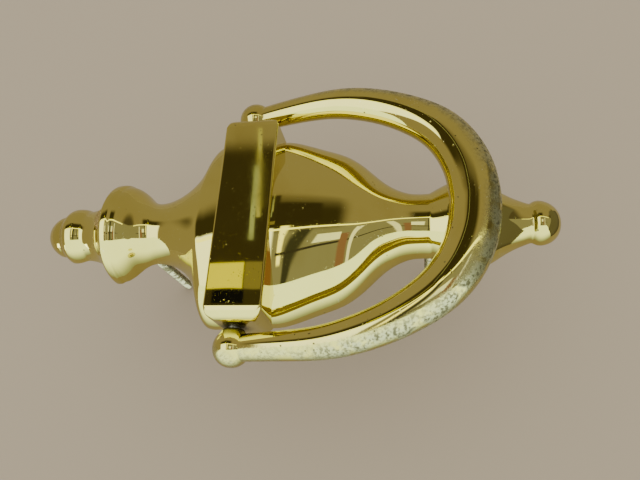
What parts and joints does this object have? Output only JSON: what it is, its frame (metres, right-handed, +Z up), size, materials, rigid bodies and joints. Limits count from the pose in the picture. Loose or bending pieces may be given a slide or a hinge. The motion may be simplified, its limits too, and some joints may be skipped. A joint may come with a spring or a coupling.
{
  "type": "door knocker",
  "caption": "Urn-pattern brass door knocker: hollow-backed casting with a hinge block, a swinging bow handle with ball knobs, a strike pad and threaded mounting studs.",
  "frame": {"origin": "on the casting's flat back at half its height, in its middle plane; the back lies on the door", "axes": "+Z up the door towards the urn finial, +Y through the door, away from the caller, X across the door"},
  "size_m": [0.089, 0.0743, 0.165],
  "materials": {
    "casting_brass": "mirror-polished and lacquered, lightly pitted",
    "handle_brass": "polished and lacquered, scuffed and pitted along its outer rim",
    "pin_steel": "plain drawn steel",
    "stud_steel": "passivated, rolled thread, slightly dulled"
  },
  "bodies": {
    "casting": {"body_casting": "casting_brass", "mounting_stud_upper": "stud_steel", "mounting_stud_lower": "stud_steel"},
    "bow": {"handle": "handle_brass", "pivot_pin_left": "pin_steel", "pivot_pin_right": "pin_steel"}
  },
  "joints": [
    {"name": "handle_swing", "type": "hinge", "parent": "casting", "child": "bow", "pos_m": [0, -0.0061, 0.0116], "axis": [-1, 0, 0], "range_deg": [0, 160]}
  ]
}
